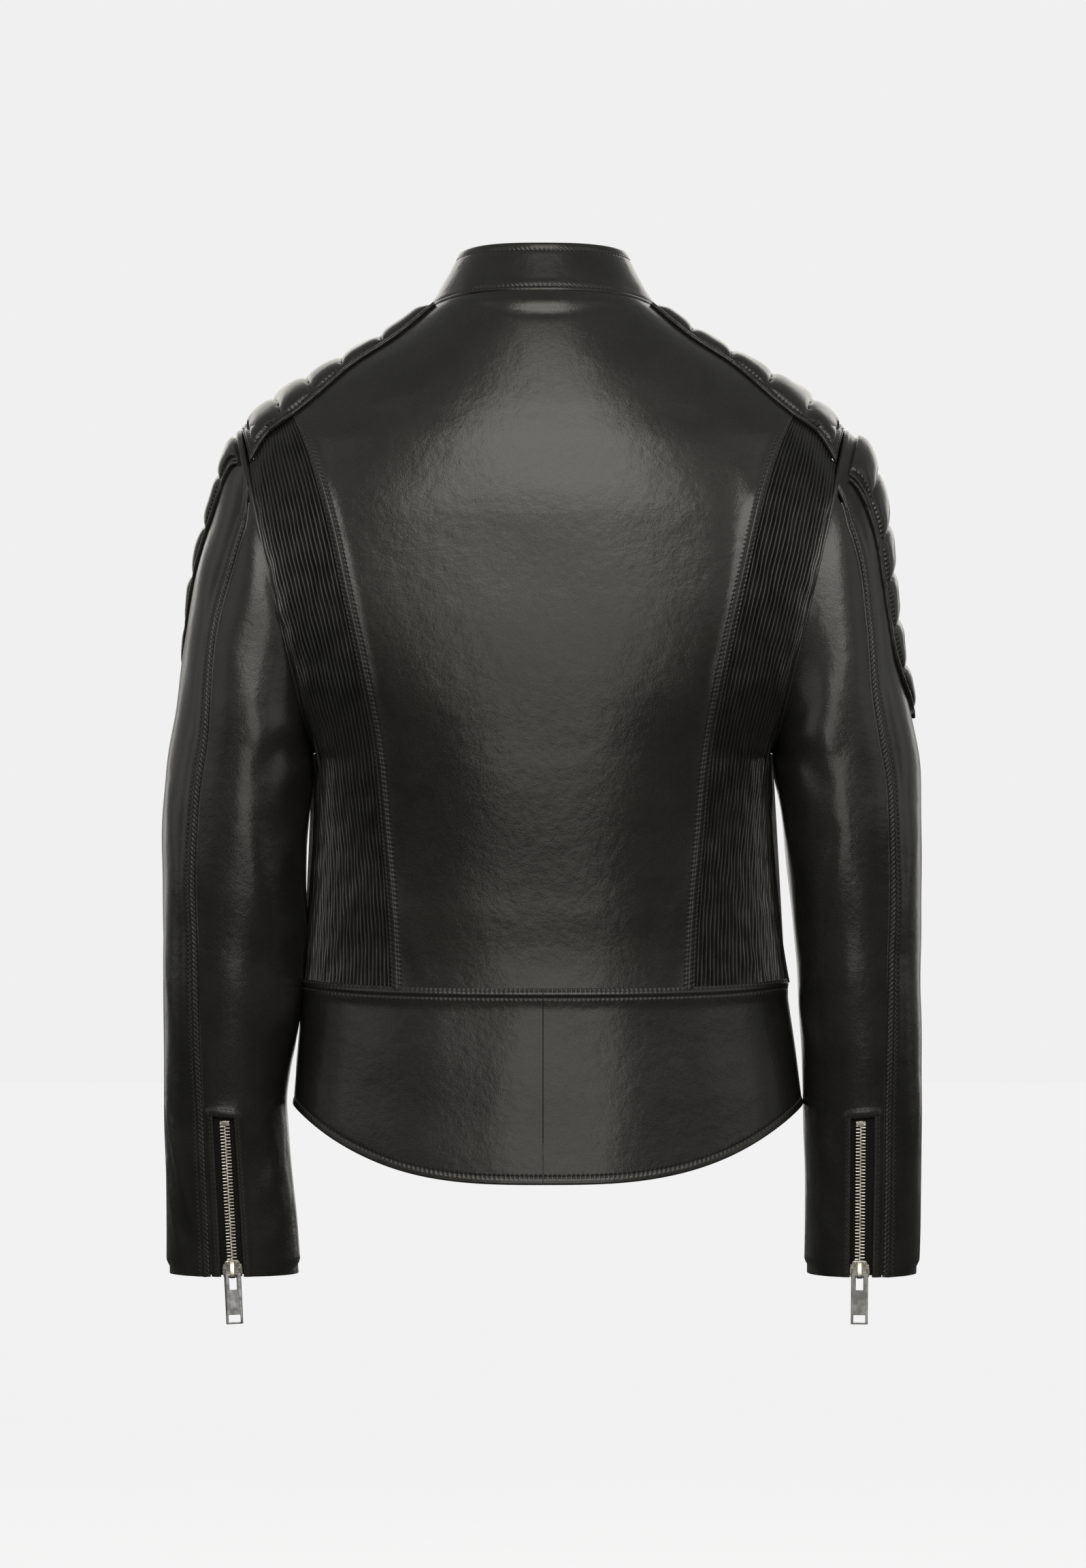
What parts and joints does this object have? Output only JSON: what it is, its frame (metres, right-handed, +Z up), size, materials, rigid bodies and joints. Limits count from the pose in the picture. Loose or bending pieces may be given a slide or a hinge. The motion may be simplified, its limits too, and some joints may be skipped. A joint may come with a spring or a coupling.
{
  "type": "leather riding jacket",
  "caption": "Hip-length leather riding jacket with a stand collar, quilted shoulders and upper sleeves, ribbed side backs, a drop-tail hem and zipped cuffs.",
  "frame": {"origin": "middle of the underside of the hanger loop's arch, inside the back of the neck, where a hook bears", "axes": "+Z up, +X to the wearer's left, -Y out of the jacket's front"},
  "size_m": [0.558, 0.2264, 0.7879],
  "materials": {
    "leather": "semi-gloss fine-grain cowhide",
    "quilt_leather": "semi-gloss fine-grain cowhide, quilted",
    "foam": "matt padding",
    "lining": "satin woven lining",
    "zip_tape": "matt woven tape",
    "nickel": "pale polished nickel",
    "gunmetal": "dark polished nickel"
  },
  "bodies": {
    "torso": {"back_panel": "leather", "rib_panel_left": "leather", "lower_back_left": "leather", "front_panel_left": "leather", "shoulder_quilt_left": "quilt_leather", "shoulder_foam_left": "foam", "shoulder_piping_back_left": "leather", "shoulder_piping_front_left": "leather", "lining_front_left": "lining", "pocket_bag_left": "lining", "front_zip_teeth_left": "nickel", "front_zip_tape_left": "zip_tape", "pocket_zip_teeth_left": "nickel", "pocket_zip_tape_left": "zip_tape", "rib_panel_right": "leather", "lower_back_right": "leather", "front_panel_right": "leather", "shoulder_quilt_right": "quilt_leather", "shoulder_foam_right": "foam", "shoulder_piping_back_right": "leather", "shoulder_piping_front_right": "leather", "lining_front_right": "lining", "pocket_bag_right": "lining", "front_zip_teeth_right": "nickel", "front_zip_tape_right": "zip_tape", "pocket_zip_teeth_right": "nickel", "pocket_zip_tape_right": "zip_tape", "lining_back": "lining", "collar_outer": "leather", "collar_lining": "leather", "hanger_loop": "leather", "snap_stud": "nickel"},
    "left_sleeve": {"sleeve_outer_left": "leather", "sleeve_under_left": "leather", "sleeve_quilt_left": "quilt_leather", "sleeve_foam_left": "foam", "sleeve_piping_left": "leather", "sleeve_lining_left": "lining", "cuff_zip_tape_left": "zip_tape", "cuff_zip_teeth_left": "nickel"},
    "left_cuff_slider": {"cuff_slider_left": "nickel"},
    "left_cuff_puller": {"cuff_puller_left": "gunmetal"},
    "left_pocket_slider": {"pocket_slider_left": "nickel"},
    "left_pocket_puller": {"pocket_puller_left": "gunmetal"},
    "right_sleeve": {"sleeve_outer_right": "leather", "sleeve_under_right": "leather", "sleeve_quilt_right": "quilt_leather", "sleeve_foam_right": "foam", "sleeve_piping_right": "leather", "sleeve_lining_right": "lining", "cuff_zip_tape_right": "zip_tape", "cuff_zip_teeth_right": "nickel"},
    "right_cuff_slider": {"cuff_slider_right": "nickel"},
    "right_cuff_puller": {"cuff_puller_right": "gunmetal"},
    "right_pocket_slider": {"pocket_slider_right": "nickel"},
    "right_pocket_puller": {"pocket_puller_right": "gunmetal"},
    "front_slider": {"front_slider": "nickel"},
    "front_puller": {"front_puller": "gunmetal"},
    "collar_tab": {"collar_tab": "leather", "snap_cap": "nickel"}
  },
  "joints": [
    {"name": "left_sleeve_swing", "type": "hinge", "parent": "torso", "child": "left_sleeve", "pos_m": [0.1955, -0.053, -0.224], "axis": [-0.9743, 0, 0.2252], "range_deg": [-20, 45]},
    {"name": "left_cuff_zip", "type": "slide", "parent": "left_sleeve", "child": "left_cuff_slider", "axis": [0.0467, 0.1376, 0.9894], "range_m": [0, 0.096]},
    {"name": "left_cuff_puller_hinge", "type": "hinge", "parent": "left_cuff_slider", "child": "left_cuff_puller", "pos_m": [0.2264, -0.02264, -0.72268], "axis": [0.9989, 0.001, -0.0473], "range_deg": [-6, 140]},
    {"name": "left_pocket_zip", "type": "slide", "parent": "torso", "child": "left_pocket_slider", "axis": [0.2443, 0.0549, -0.9681], "range_m": [0, 0.068]},
    {"name": "left_pocket_puller_hinge", "type": "hinge", "parent": "left_pocket_slider", "child": "left_pocket_puller", "pos_m": [0.12223, -0.13903, -0.43012], "axis": [-0.7943, -0.5614, -0.2323], "range_deg": [0, 150]},
    {"name": "right_sleeve_swing", "type": "hinge", "parent": "torso", "child": "right_sleeve", "pos_m": [-0.1955, -0.053, -0.224], "axis": [-0.9743, 0, -0.2252], "range_deg": [-20, 45]},
    {"name": "right_cuff_zip", "type": "slide", "parent": "right_sleeve", "child": "right_cuff_slider", "axis": [-0.0026, 0.1091, 0.994], "range_m": [0, 0.096]},
    {"name": "right_cuff_puller_hinge", "type": "hinge", "parent": "right_cuff_slider", "child": "right_cuff_puller", "pos_m": [-0.23065, -0.01881, -0.72255], "axis": [0.9986, -0.0514, 0.0082], "range_deg": [-6, 140]},
    {"name": "right_pocket_zip", "type": "slide", "parent": "torso", "child": "right_pocket_slider", "axis": [-0.2664, 0.0546, -0.9623], "range_m": [0, 0.068]},
    {"name": "right_pocket_puller_hinge", "type": "hinge", "parent": "right_pocket_slider", "child": "right_pocket_puller", "pos_m": [-0.12256, -0.13897, -0.43002], "axis": [-0.7898, 0.5599, 0.2504], "range_deg": [0, 150]},
    {"name": "front_zip", "type": "slide", "parent": "torso", "child": "front_slider", "axis": [0, -0.0995, -0.995], "range_m": [0, 0.465]},
    {"name": "front_puller_hinge", "type": "hinge", "parent": "front_slider", "child": "front_puller", "pos_m": [0, -0.13413, -0.11711], "axis": [-1, 0, 0], "range_deg": [0, 150]},
    {"name": "collar_tab_hinge", "type": "hinge", "parent": "torso", "child": "collar_tab", "pos_m": [0.02653, -0.12432, -0.06555], "axis": [0, 0.2425, 0.9701], "range_deg": [0, 110]}
  ]
}
